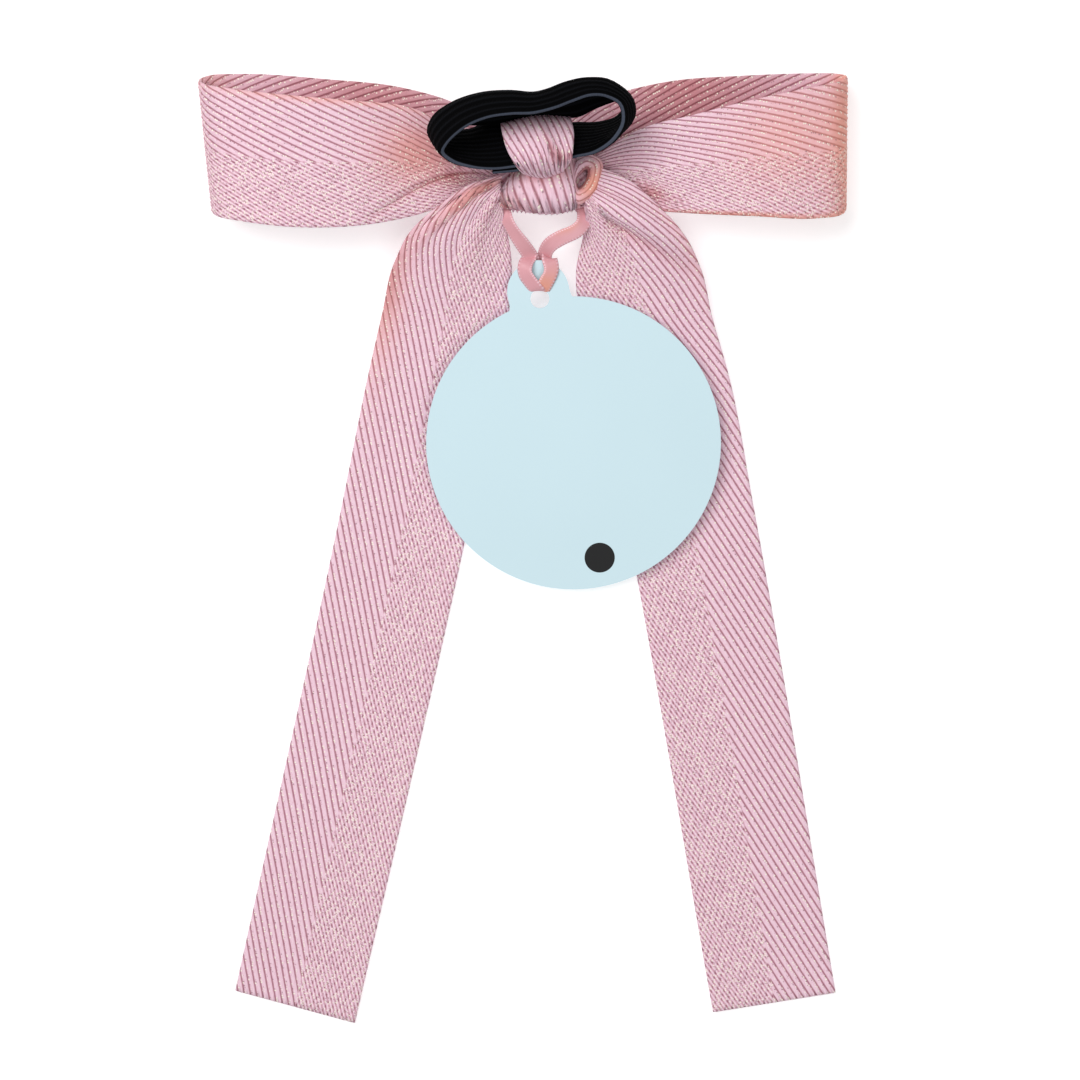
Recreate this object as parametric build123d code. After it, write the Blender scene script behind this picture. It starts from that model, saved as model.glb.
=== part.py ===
from build123d import *
import math
import os

# Ribbon hair bow with two loops and two tails, its elastic hair tie and its swing tag.
# It lies flat on its front: +Z is up, out of the back of the bow, +Y runs from the tails to
# the loops, and the origin is on the table under the middle of the bow. Millimetres.

os.makedirs("parts", exist_ok=True)

# Bow ribbon: 25 mm herringbone twill tape
RIBBON_WIDTH = 25.0
RIBBON_THICK = 0.8
TABLE_LAYER_Z = RIBBON_THICK / 2

# Knot
KNOT_LEFT = -3.9
KNOT_RIGHT = 11.7
KNOT_MIDDLE_X = (KNOT_LEFT + KNOT_RIGHT) / 2
KNOT_WIDTH = KNOT_RIGHT - KNOT_LEFT
FRONT_KNOT_LOW_Y = 66.5
FRONT_KNOT_HIGH_Y = 80.5
FRONT_KNOT_HEIGHT = 3.2
CORE_LOW_Y = 67.5
CORE_HIGH_Y = 76.2
CORE_BASE_Z = 3.3
CORE_TOP_Z = 8.3
BACK_BAND_LOW_Y = 66.2
BACK_BAND_HIGH_Y = 71.6
BACK_BAND_BASE_Z = 8.8
BACK_BAND_TOP_Z = 11.5
KNOT_ROUNDING = 1.4

# Side tuck: the ribbon that turns back beside the knot
TUCK_LEFT = 12.0
TUCK_RIGHT = 14.6
TUCK_LOW_Y = 74.2
TUCK_HIGH_Y = 78.2
TUCK_BASE_Z = 8.9
TUCK_TOP_Z = 11.6
TUCK_HOLE_RADIUS = 0.7

# Hair tie: a flat ribbed elastic loop, held by a folded ribbon strap
ELASTIC_WIDTH = 9.0
ELASTIC_THICK = 1.0
ELASTIC_TILT = 38.0
ELASTIC_ROLL = 9.0
ELASTIC_CENTRE = (1.8, 82.6, 18.0)
ELASTIC_CORNERS = [(-20.4, -8.0), (20.4, -8.0), (20.4, 8.6), (1.5, 6.4), (-20.4, 7.6)]
ELASTIC_CORNER_RADII = [6.5, 7.0, 7.5, 14.0, 6.0]

STRAP_LEFT = -2.6
STRAP_RIGHT = 9.9
STRAP_THICK = 1.0
STRAP_CORNERS = [(78.2, 7.1), (71.0, 16.3), (75.4, 19.9), (84.3, 13.2), (83.0, 8.0)]
STRAP_CORNER_RADII = [1.4, 1.4, 1.8, 2.2, 2.0]
STRAP_ROOT = (73.2, 12.7)
STRAP_ROOT_RADIUS = 1.1

# Swing tag: a card disc with a round tab
TAG_RADIUS = 28.5
TAG_THICK = 0.5
TAB_RADIUS = 5.95
TAB_CENTRE_Y = 30.2
TAB_FILLET = 1.2
TAG_HOLE_RADIUS = 1.8
TAG_HOLE_Y = 28.8
TAG_CENTRE = (9.9, 22.1, 4.3)
TAG_TURN = 13.05
TAG_SLOPE = 4.0

# Satin ribbon of the tag
SATIN_WIDTH = 3.0
SATIN_THICK = 0.4
HITCH_TOP_Y = 36.6
HITCH_LEG_SPREAD = 3.1
HITCH_LIFT = 0.15
HITCH_PLUG_RADIUS = 1.2
WAIST_RUN_Y = 68.6

# Each run of ribbon is a list of stations: the two edge points of the tape, (x, y, z).
LEFT_LOOP_STATIONS = [
    ((-4.3, 75.8, 5.0), (-4.3, 69.0, 4.6)),
    ((-12.0, 84.0, 3.2), (-12.0, 67.5, 3.0)),
    ((-22.0, 89.0, 1.6), (-21.0, 67.0, 1.4)),
    ((-38.0, 92.2, 0.7), (-36.5, 67.4, 0.6)),
    ((-54.5, 93.2, TABLE_LAYER_Z), (-52.5, 68.4, TABLE_LAYER_Z)),
    ((-59.6, 92.8, 2.1), (-57.3, 67.9, 2.1)),
    ((-61.3, 91.5, 6.0), (-59.0, 66.6, 6.0)),
    ((-59.6, 90.2, 9.8), (-57.3, 65.4, 9.8)),
    ((-55.0, 89.3, 11.4), (-52.8, 64.5, 11.6)),
    ((-42.0, 87.8, 12.2), (-41.0, 63.3, 12.6)),
    ((-31.0, 87.0, 11.0), (-30.0, 63.8, 11.4)),
    ((-21.0, 86.0, 8.2), (-21.0, 65.6, 8.8)),
    ((-12.5, 82.0, 6.9), (-12.5, 68.2, 7.4)),
    ((-4.3, 75.8, 7.2), (-4.3, 69.8, 7.4)),
]
RIGHT_LOOP_STATIONS = [
    ((12.1, 75.8, 5.0), (12.1, 69.0, 4.6)),
    ((19.0, 86.0, 3.2), (19.0, 67.5, 3.0)),
    ((29.0, 91.0, 1.6), (29.0, 67.0, 1.4)),
    ((42.0, 92.8, 0.7), (42.0, 67.8, 0.6)),
    ((55.0, 93.3, TABLE_LAYER_Z), (55.0, 68.3, TABLE_LAYER_Z)),
    ((59.9, 93.1, 2.1), (59.9, 67.9, 2.1)),
    ((61.6, 92.2, 6.0), (61.6, 66.8, 6.0)),
    ((59.9, 90.8, 9.8), (59.9, 65.6, 9.8)),
    ((55.0, 89.6, 11.4), (55.0, 65.0, 11.6)),
    ((43.0, 87.0, 12.6), (44.0, 65.4, 12.4)),
    ((32.0, 84.3, 11.4), (33.0, 66.0, 10.6)),
    ((22.5, 82.0, 8.8), (23.0, 67.0, 8.2)),
    ((12.1, 75.8, 7.3), (12.1, 69.8, 7.2)),
]
LEFT_TAIL_STATIONS = [
    ((-5.2, 72.0, 10.2), (-4.6, 67.8, 10.0)),
    ((-12.0, 68.6, 11.0), (-4.4, 65.3, 8.2)),
    ((-18.6, 64.7, 11.0), (-3.6, 62.0, 6.0)),
    ((-22.6, 60.5, 9.4), (-2.8, 58.3, 5.2)),
    ((-25.2, 54.5, 6.2), (-2.4, 52.6, 3.8)),
    ((-27.2, 46.5, 3.4), (-3.4, 42.0, 2.2)),
    ((-30.0, 35.2, 1.6), (-5.6, 29.7, 1.2)),
    ((-35.3, 10.2, TABLE_LAYER_Z), (-10.9, 4.7, TABLE_LAYER_Z)),
    ((-57.3, -86.9, TABLE_LAYER_Z), (-33.5, -93.5, TABLE_LAYER_Z)),
]
RIGHT_TAIL_STATIONS = [
    ((13.6, 72.4, 10.2), (12.5, 67.6, 10.0)),
    ((21.2, 70.2, 11.0), (12.2, 64.6, 8.0)),
    ((27.4, 65.6, 11.0), (11.0, 61.4, 6.0)),
    ((31.0, 60.8, 9.4), (10.0, 57.8, 5.2)),
    ((33.8, 55.2, 6.2), (10.2, 53.0, 3.8)),
    ((36.6, 46.5, 3.4), (12.2, 42.6, 2.2)),
    ((40.1, 35.2, 1.6), (15.5, 30.9, 1.2)),
    ((45.1, 10.2, TABLE_LAYER_Z), (20.5, 5.9, TABLE_LAYER_Z)),
    ((62.3, -87.3, TABLE_LAYER_Z), (37.9, -91.3, TABLE_LAYER_Z)),
]
LEFT_STRAND_STATIONS = [
    ((-4.1, 66.1, 9.6), (-3.6, 65.5, 9.0)),
    ((-3.0, 63.6, 9.3), (-1.4, 64.4, 8.2)),
    ((-1.7, 61.0, 8.6), (0.6, 62.4, 7.9)),
    ((0.4, 58.2, 7.9), (2.8, 59.6, 7.6)),
]
RIGHT_STRAND_STATIONS = [
    ((12.3, 66.0, 9.6), (11.9, 65.4, 9.0)),
    ((13.1, 63.2, 9.5), (10.6, 63.8, 8.6)),
    ((10.0, 60.2, 9.0), (8.6, 62.2, 8.6)),
    ((6.8, 58.4, 8.6), (5.0, 60.6, 8.6)),
]


def band_section(first_edge, second_edge, along, thick):
    """Rectangular outline of a flat tape, cut across its run."""
    across = second_edge - first_edge
    half_up = along.cross(across).normalized() * (thick / 2)
    corners = [
        first_edge + half_up,
        second_edge + half_up,
        second_edge - half_up,
        first_edge - half_up,
    ]
    return Wire.make_polygon(corners, close=True)


def ribbon_run(stations, thick):
    """Solid of a flat tape that passes through the stations."""
    edges = [(Vector(*first), Vector(*second)) for first, second in stations]
    middles = [(first + second) * 0.5 for first, second in edges]
    last = len(edges) - 1
    sections = []
    for index, (first, second) in enumerate(edges):
        before = middles[max(index - 1, 0)]
        after = middles[min(index + 1, last)]
        sections.append(band_section(first, second, after - before, thick))
    return Solid.make_loft(sections, ruled=True)


def rounded_block(left, right, low_y, high_y, base_z, top_z, rounding):
    """Block between the given faces, with its upright and top edges rounded."""
    size = (right - left, high_y - low_y, top_z - base_z)
    middle = ((left + right) / 2, (low_y + high_y) / 2, (base_z + top_z) / 2)
    block = Pos(*middle) * Box(*size)
    block = fillet(block.edges().filter_by(Axis.Z), rounding)
    return fillet(block.faces().sort_by(Axis.Z)[-1].edges(), rounding * 0.6)


def front_knot():
    """The wrap of the knot that shows on the front and rests on the table."""
    return rounded_block(
        KNOT_LEFT, KNOT_RIGHT, FRONT_KNOT_LOW_Y, FRONT_KNOT_HIGH_Y, 0.0, FRONT_KNOT_HEIGHT, KNOT_ROUNDING
    )


def waist_core():
    """The gathered ribbon inside the knot."""
    return rounded_block(
        KNOT_LEFT, KNOT_RIGHT, CORE_LOW_Y, CORE_HIGH_Y, CORE_BASE_Z, CORE_TOP_Z, KNOT_ROUNDING
    )


def knot_back_band():
    """The wrap of the knot that shows on the back, below the strap."""
    return rounded_block(
        KNOT_LEFT,
        KNOT_RIGHT,
        BACK_BAND_LOW_Y,
        BACK_BAND_HIGH_Y,
        BACK_BAND_BASE_Z,
        BACK_BAND_TOP_Z,
        KNOT_ROUNDING,
    )


def knot_side_tuck():
    """The turn of ribbon beside the strap, curled round a small hollow."""
    block = rounded_block(TUCK_LEFT, TUCK_RIGHT, TUCK_LOW_Y, TUCK_HIGH_Y, TUCK_BASE_Z, TUCK_TOP_Z, 0.8)
    middle = ((TUCK_LEFT + TUCK_RIGHT) / 2, (TUCK_LOW_Y + TUCK_HIGH_Y) / 2, TUCK_TOP_Z)
    return block - Pos(*middle) * Cylinder(TUCK_HOLE_RADIUS, 2 * TUCK_HOLE_RADIUS)


def elastic_plane():
    """Plane of the hair tie's loop, through the middle of its width."""
    tilted = Plane.XY.rotated((ELASTIC_TILT, 0, 0))
    rolled = Rot(0, 0, ELASTIC_ROLL)
    return Plane(Location(ELASTIC_CENTRE) * tilted.location * rolled)


def hair_tie():
    """The elastic loop: a kidney-shaped flat band."""
    outline = FilletPolyline(*ELASTIC_CORNERS, radius=ELASTIC_CORNER_RADII, close=True)
    outer = make_face(outline)
    inner = offset(outer, amount=-ELASTIC_THICK)
    return extrude(elastic_plane() * (outer - inner), amount=ELASTIC_WIDTH / 2, both=True)


def hair_tie_strap():
    """The folded ribbon strap, a closed loop round the elastic's lower side."""
    outline = FilletPolyline(*STRAP_CORNERS, radius=STRAP_CORNER_RADII, close=True)
    outer = make_face(outline)
    inner = offset(outer, amount=-STRAP_THICK)
    root = Pos(*STRAP_ROOT) * Circle(STRAP_ROOT_RADIUS)
    profile = (outer - inner) + (root - inner)
    side_plane = Plane(origin=(STRAP_LEFT, 0, 0), x_dir=(0, 1, 0), z_dir=(1, 0, 0))
    return extrude(side_plane * profile, amount=STRAP_RIGHT - STRAP_LEFT)


def tag_plane():
    """Plane of the card's middle, with its y axis towards the tab."""
    return Plane(Location(TAG_CENTRE) * Rot(TAG_SLOPE, 0, 0) * Rot(0, 0, TAG_TURN))


def tag_card():
    """The card: a disc with a round tab and a hole."""
    side_height = TAB_CENTRE_Y - TAG_RADIUS / 2
    outline = Circle(TAG_RADIUS) + Pos(0, TAB_CENTRE_Y) * Circle(TAB_RADIUS)
    outline += Pos(0, TAB_CENTRE_Y - side_height / 2) * Rectangle(2 * TAB_RADIUS, side_height)
    corner_y = math.sqrt(TAG_RADIUS**2 - TAB_RADIUS**2)
    corners = [point for point in outline.vertices() if abs(point.Y - corner_y) < 0.1]
    outline = fillet(corners, TAB_FILLET)
    outline -= Pos(0, TAG_HOLE_Y) * Circle(TAG_HOLE_RADIUS)
    return extrude(tag_plane() * outline, amount=TAG_THICK / 2, both=True)


def tag_ribbon_hitch():
    """The satin loop through the hole: two legs on the card's face and a plug in the hole."""
    leg = HITCH_LEG_SPREAD
    half = SATIN_WIDTH / 2
    low_y = TAG_HOLE_Y - half
    legs = Polyline(
        (-half, low_y + 0.6),
        (0, low_y),
        (half, low_y + 0.6),
        (leg + half, HITCH_TOP_Y - 2.0),
        (half, HITCH_TOP_Y + 0.6),
        (-half, HITCH_TOP_Y + 0.6),
        (-leg - half, HITCH_TOP_Y - 2.0),
        close=True,
    )
    face_z = TAG_THICK / 2 + HITCH_LIFT
    plate = extrude(Pos(0, 0, face_z) * make_face(legs), amount=SATIN_THICK)
    plug_depth = face_z + TAG_THICK / 2
    plug = Pos(0, TAG_HOLE_Y, face_z - plug_depth / 2) * Cylinder(HITCH_PLUG_RADIUS, plug_depth)
    return tag_plane() * (plate + plug)


def tag_ribbon_waist():
    """The hidden run of satin ribbon that passes under the back of the knot."""
    length = KNOT_WIDTH - 2 * KNOT_ROUNDING
    gap = BACK_BAND_BASE_Z - CORE_TOP_Z
    return Pos(KNOT_MIDDLE_X, WAIST_RUN_Y, CORE_TOP_Z + gap / 2) * Box(length, SATIN_WIDTH, SATIN_THICK)


PARTS = {
    "left_loop": ribbon_run(LEFT_LOOP_STATIONS, RIBBON_THICK),
    "right_loop": ribbon_run(RIGHT_LOOP_STATIONS, RIBBON_THICK),
    "left_tail": ribbon_run(LEFT_TAIL_STATIONS, RIBBON_THICK),
    "right_tail": ribbon_run(RIGHT_TAIL_STATIONS, RIBBON_THICK),
    "front_knot": front_knot(),
    "waist_core": waist_core(),
    "knot_back_band": knot_back_band(),
    "knot_side_tuck": knot_side_tuck(),
    "hair_tie": hair_tie(),
    "hair_tie_strap": hair_tie_strap(),
    "tag_card": tag_card(),
    "tag_ribbon_left": ribbon_run(LEFT_STRAND_STATIONS, SATIN_THICK),
    "tag_ribbon_right": ribbon_run(RIGHT_STRAND_STATIONS, SATIN_THICK),
    "tag_ribbon_hitch": tag_ribbon_hitch(),
    "tag_ribbon_waist": tag_ribbon_waist(),
}

for node, shape in PARTS.items():
    export_step(shape, f"parts/{node}.step")
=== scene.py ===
"""Ribbon hair bow: two loops and two tails of herringbone tape, an elastic hair tie and a swing tag.

The bow lies on its front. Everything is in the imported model's frame, +Z out of the bow's back and +Y from the
tails to the loops. Sizes and places below are in millimetres, and mm() turns them to metres.
"""

import logging
import math
from collections.abc import Callable
from dataclasses import dataclass, field
from enum import Enum

import bmesh
import bpy
import numpy as np
from mathutils import Matrix, Vector


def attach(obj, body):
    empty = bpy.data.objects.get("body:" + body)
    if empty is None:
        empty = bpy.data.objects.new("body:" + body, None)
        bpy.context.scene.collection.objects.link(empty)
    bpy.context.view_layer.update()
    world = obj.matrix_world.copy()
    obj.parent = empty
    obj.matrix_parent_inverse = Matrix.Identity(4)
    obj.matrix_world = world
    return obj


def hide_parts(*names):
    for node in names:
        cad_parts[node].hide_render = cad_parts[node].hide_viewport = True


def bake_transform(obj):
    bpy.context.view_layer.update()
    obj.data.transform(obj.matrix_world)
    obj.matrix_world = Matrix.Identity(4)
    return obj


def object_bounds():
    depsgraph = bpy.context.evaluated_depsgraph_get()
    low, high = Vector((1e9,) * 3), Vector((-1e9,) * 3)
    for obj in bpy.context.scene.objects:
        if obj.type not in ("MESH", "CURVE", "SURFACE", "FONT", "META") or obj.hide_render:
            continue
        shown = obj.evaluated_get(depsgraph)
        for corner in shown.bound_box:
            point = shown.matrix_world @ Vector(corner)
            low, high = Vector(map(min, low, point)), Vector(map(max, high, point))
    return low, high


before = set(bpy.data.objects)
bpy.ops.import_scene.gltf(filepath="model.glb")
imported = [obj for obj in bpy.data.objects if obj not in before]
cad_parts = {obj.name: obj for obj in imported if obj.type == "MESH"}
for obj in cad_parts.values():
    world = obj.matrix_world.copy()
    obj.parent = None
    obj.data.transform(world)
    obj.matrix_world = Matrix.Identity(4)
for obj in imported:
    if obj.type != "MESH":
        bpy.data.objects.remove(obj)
CAD_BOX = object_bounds()

LOG = logging.getLogger("hair_bow")

Point = tuple[float, float, float]
Station = tuple[Point, ...]
Surface = Callable[[np.ndarray, np.ndarray], np.ndarray]

MM = 0.001

# Bow ribbon: herringbone twill tape with a metallic thread
TAPE_WIDTH = 25.0
TAPE_THICK = 0.5
SELVEDGE = 0.45
RIB_PITCH = 1.22
RIB_HEIGHT = 0.16
RIB_ANGLE = math.radians(23.0)
RIB_LAG = 1.0 / math.tan(RIB_ANGLE)
RIB_STEP = RIB_PITCH / math.sin(RIB_ANGLE)

# Where the tape is pulled tight round the knot, its ribs are flatter and nearly run along it
KNOT_RIB_HEIGHT = 0.05
KNOT_SLANT = math.radians(16.0)

# How finely a band's mesh follows its weave, and how much painted shade a crease 1 mm deep takes
ROWS_PER_RIB = 8
COLUMN_GAP = 0.78
COLUMNS_PER_CORD = 6
SATIN_COLUMNS = 6
LONG_ROW = 0.8
SHORT_ROW = 0.3
VALLEY_SHADE = 0.55

# Elastic of the hair tie
ELASTIC_WIDTH = 11.0
ELASTIC_THICK = 1.1
CORD_PITCH = 1.1
CORD_HEIGHT = 0.16
PLAIT_PITCH = 0.6

# Satin ribbon of the tag
SATIN_WIDTH = 3.0
SATIN_THICK = 0.26
PICOT_PITCH = 0.55
PICOT_HEIGHT = 0.09
PICOT_RECESS = 0.04
WEFT_PITCH = 0.3

# Swing tag
CARD_RADIUS = 28.5
CARD_THICK = 0.5
TAB_RADIUS = 5.95
TAB_CENTRE_Y = 30.2
TAB_FILLET = 1.2
EYE_RADIUS = 1.8
EYE_Y = 28.8
CARD_EDGE_ROUNDING = 0.07
CARD_CENTRE = (9.9, 22.1, 4.3)
CARD_TURN = math.radians(13.05)
CARD_SLOPE = math.radians(4.0)
DOT_CENTRE = (0.0, -22.8)
DOT_RADIUS = 2.95


def mm(*sizes: float) -> Vector:
    """Turn millimetres to a vector in metres."""
    return Vector(sizes) * MM


def linear(colour: str) -> tuple[float, float, float, float]:
    """Turn an sRGB hex colour to linear RGBA.

    Args:
        colour: Six hex digits with a leading #.

    Returns:
        Red, green, blue and an alpha of 1, each from 0 to 1.
    """
    parts = [int(colour[at : at + 2], 16) / 255 for at in (1, 3, 5)]
    red, green, blue = (c / 12.92 if c <= 0.04045 else ((c + 0.055) / 1.055) ** 2.4 for c in parts)
    return (red, green, blue, 1.0)


def add_node(material: bpy.types.Material, kind: str, links: dict, **settings: object) -> bpy.types.Node:
    """Add a shader node with its settings and its inputs.

    Args:
        material: The material whose tree takes the node.
        kind: The node's type name.
        links: For each input, by name or number, the output that feeds it or the value it is set to.
        **settings: Attributes of the node itself.

    Returns:
        The new node.
    """
    node = material.node_tree.nodes.new(kind)
    for name, value in settings.items():
        setattr(node, name, value)
    for socket, value in links.items():
        if isinstance(value, bpy.types.NodeSocket):
            material.node_tree.links.new(value, node.inputs[socket])
        else:
            node.inputs[socket].default_value = value
    return node


def ramp(
    material: bpy.types.Material, fed_by: bpy.types.NodeSocket, low: float, high: float
) -> bpy.types.NodeSocket:
    """Turn a value to a smooth 0 to 1 step between two limits.

    Args:
        material: The material whose tree takes the node.
        fed_by: The output to turn.
        low: The value that gives 0.
        high: The value that gives 1.

    Returns:
        The step's output.
    """
    links = {"Value": fed_by, "From Min": low, "From Max": high}
    return add_node(material, "ShaderNodeMapRange", links, interpolation_type="SMOOTHSTEP").outputs[0]


def sums(
    material: bpy.types.Material, operation: str, first: object, second: object, third: object = 0.0
) -> bpy.types.NodeSocket:
    """Add a maths node and give its output.

    Args:
        material: The material whose tree takes the node.
        operation: The node's operation.
        first: First input, an output or a number.
        second: Second input, an output or a number.
        third: Third input, for the operations that have one.

    Returns:
        The node's output.
    """
    links = {0: first, 1: second, 2: third}
    return add_node(material, "ShaderNodeMath", links, operation=operation).outputs[0]


def mixed(
    material: bpy.types.Material, share: object, first: object, second: object
) -> bpy.types.NodeSocket:
    """Mix two colours by a share.

    Args:
        material: The material whose tree takes the node.
        share: 0 for the first colour and 1 for the second.
        first: First colour, an output or RGBA.
        second: Second colour, an output or RGBA.

    Returns:
        The mixed colour's output.
    """
    links = {0: share, 6: first, 7: second}
    return add_node(material, "ShaderNodeMix", links, data_type="RGBA").outputs[2]


def dress(
    material: bpy.types.Material, colour: bpy.types.NodeSocket, relief: object, strength: float, depth: float
) -> bpy.types.Node:
    """Give a material its colour and its fine relief.

    Args:
        material: The material.
        colour: The output that colours it.
        relief: The output that raises its fine relief.
        strength: How strongly the relief turns the light.
        depth: The relief's depth in mm.

    Returns:
        The material's shader, for what else it needs.
    """
    shader = material.node_tree.nodes["Principled BSDF"]
    links = {"Height": relief, "Strength": strength, "Distance": depth * MM}
    bump = add_node(material, "ShaderNodeBump", links)
    material.node_tree.links.new(colour, shader.inputs["Base Color"])
    material.node_tree.links.new(bump.outputs[0], shader.inputs["Normal"])
    return shader


def new_material(name: str) -> bpy.types.Material:
    """Add an empty material that has a shader.

    Args:
        name: The finish's name.

    Returns:
        The material.
    """
    made = bpy.data.materials.new(name)
    made.use_nodes = True
    return made


def woven_map(material: bpy.types.Material) -> tuple[bpy.types.NodeSocket, ...]:
    """Read a band's own map in its material.

    Args:
        material: The material.

    Returns:
        The whole map, its part across the band and its part along it.
    """
    weave = add_node(material, "ShaderNodeUVMap", {}, uv_map="weave").outputs[0]
    parts = add_node(material, "ShaderNodeSeparateXYZ", {0: weave})
    return weave, parts.outputs[0], parts.outputs[1]


def share_of(material: bpy.types.Material, name: str) -> bpy.types.NodeSocket:
    """Read one of a band's own attributes in its material.

    Args:
        material: The material.
        name: The attribute's name.

    Returns:
        The attribute's output.
    """
    return add_node(material, "ShaderNodeAttribute", {}, attribute_name=name).outputs["Fac"]


@dataclass(frozen=True)
class WovenTape:
    """Polyester twill tape with a lurex thread: matt ribs, dull grooves and a row of metal beads painted bright
    as glints, with painted warm light, painted shade and painted highlights on the rib tops.
    """

    rib: str = "#e9bacb"
    # painted highlight for the rib tops
    crown_highlight: str = "#f8dcea"
    groove: str = "#a8707e"
    # painted warm light: warm-lit copies of the rib and groove colours
    warm_lit_rib: str = "#f6ab98"
    warm_lit_groove: str = "#d08472"
    # painted shade: shaded copies of the rib and groove colours, and a painted near-black shadow for the bottom
    # of a hollow
    shade_rib: str = "#b86866"
    shade_groove: str = "#7c3838"
    hollow: str = "#3a1518"
    # the lurex thread's pale colour, painted near-white as a glint
    metal: str = "#fff6e6"
    gap: str = "#7d5058"
    fuzz: str = "#ffd6f0"
    roughness: float = 0.66
    float_length: float = 0.95
    float_lean: float = 1.1
    bead: float = 0.4

    def build(self) -> bpy.types.Material:
        """Make the material, which reads the tape's own map: mm across it, and ribs along it.

        Returns:
            The material.
        """
        made = new_material("herringbone_twill_tape")
        weave, across, ribs = woven_map(made)
        place = sums(made, "FRACT", ribs, 0.0)
        grain = ramp(made, across, -0.25, 0.25)
        # along is the distance in mm along a rib, square to the ribs' count
        run = sums(made, "MULTIPLY", sums(made, "ABSOLUTE", across, 0.0), 1 / math.sin(RIB_ANGLE))
        along = sums(made, "MULTIPLY_ADD", ribs, -RIB_STEP * math.cos(RIB_ANGLE), run)
        edge = sums(made, "ABSOLUTE", sums(made, "MULTIPLY_ADD", place, 2.0, -1.0), 0.0)
        smooth_rib = ramp(made, edge, 1.0, 0.55)
        # on the other half the yarns cross the ribs, as short floats with a hole at each end
        turns = sums(made, "MULTIPLY", along, 1 / self.float_length)
        turns = sums(made, "MULTIPLY_ADD", ribs, self.float_lean, turns)
        wave = sums(made, "COSINE", sums(made, "MULTIPLY", turns, 2 * math.pi), 0.0)
        floats = sums(made, "MULTIPLY_ADD", wave, 0.3, 0.85)
        holes = sums(made, "MULTIPLY", ramp(made, edge, 0.5, 0.95), ramp(made, wave, 0.1, -0.7))
        grainy_rib = sums(made, "SUBTRACT", floats, sums(made, "MULTIPLY", holes, 0.75))
        light = add_node(made, "ShaderNodeMix", {0: grain, 2: smooth_rib, 3: grainy_rib}).outputs[0]
        fibre = add_node(
            made, "ShaderNodeTexNoise", {"Vector": weave, "Scale": 4.0, "Detail": 3.0, "Roughness": 0.7}
        ).outputs[0]
        light = sums(made, "MULTIPLY_ADD", sums(made, "SUBTRACT", fibre, 0.5), 0.7, light)
        # painted warm light and painted shade: warm-lit stretches get a painted warm tint, shaded ones a
        # painted shade colour, and the bottom of a hollow a painted near-black shadow
        warm_light, depth = share_of(made, "warm_light"), share_of(made, "depth")
        low = mixed(made, warm_light, linear(self.groove), linear(self.warm_lit_groove))
        low = mixed(made, depth, low, linear(self.shade_groove))
        high = mixed(made, warm_light, linear(self.rib), linear(self.warm_lit_rib))
        high = mixed(made, depth, high, linear(self.shade_rib))
        cloth = mixed(made, light, low, high)
        plain = sums(made, "SUBTRACT", sums(made, "SUBTRACT", 0.8, warm_light), depth)
        # painted shadow: where the painted shade is strongest the colour goes nearly black
        dark = sums(made, "MULTIPLY", ramp(made, depth, 0.8, 1.0), 0.9)
        cloth = mixed(made, dark, cloth, linear(self.hollow))
        # painted highlight: the rib tops turn paler, less so where painted warm light or painted shade lies
        crown_highlight_share = sums(made, "MULTIPLY", ramp(made, light, 0.75, 1.15), sums(made, "MAXIMUM", plain, 0.0))
        cloth = mixed(made, crown_highlight_share, cloth, linear(self.crown_highlight))
        # the metal thread dips in and out beside each rib: a row of beads with gaps between them; the bright
        # beads are the thread's pale colour, painted near-white as a glint
        beads_along = sums(made, "MULTIPLY", along, 1 / self.bead)
        beads_over = sums(made, "MULTIPLY", ribs, RIB_PITCH / self.bead)
        square = add_node(made, "ShaderNodeCombineXYZ", {0: beads_along, 1: beads_over, 2: grain}).outputs[0]
        thread = add_node(made, "ShaderNodeTexVoronoi", {"Vector": square, "Scale": 1.0, "Randomness": 0.7})
        near = ramp(made, thread.outputs["Distance"], 0.55, 0.3)
        chance = add_node(made, "ShaderNodeSeparateXYZ", {0: thread.outputs["Color"]}).outputs[0]
        row = sums(made, "MULTIPLY", ramp(made, place, 0.52, 0.66), ramp(made, place, 1.0, 0.88))
        zone = add_node(made, "ShaderNodeMix", {0: grain, 2: row, 3: 0.8}).outputs[0]
        bright = sums(made, "MULTIPLY", near, sums(made, "MULTIPLY", zone, ramp(made, chance, 0.45, 0.55)))
        dull = sums(made, "MULTIPLY", near, sums(made, "MULTIPLY", zone, ramp(made, chance, 0.35, 0.2)))
        cloth = mixed(made, sums(made, "MULTIPLY", dull, 0.6), cloth, linear(self.gap))
        cloth = mixed(made, sums(made, "MULTIPLY", bright, 0.95), cloth, linear(self.metal))
        relief = sums(made, "MULTIPLY_ADD", light, 0.8, sums(made, "MULTIPLY_ADD", fibre, 0.5, bright))
        rough = sums(made, "MULTIPLY_ADD", bright, -0.35, self.roughness)
        shader = dress(made, cloth, relief, 0.4, 0.1)
        made.node_tree.links.new(rough, shader.inputs["Roughness"])
        shader.inputs["Specular IOR Level"].default_value = 0.3
        shader.inputs["Sheen Weight"].default_value = 0.12
        shader.inputs["Sheen Tint"].default_value = linear(self.fuzz)
        return made


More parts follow.
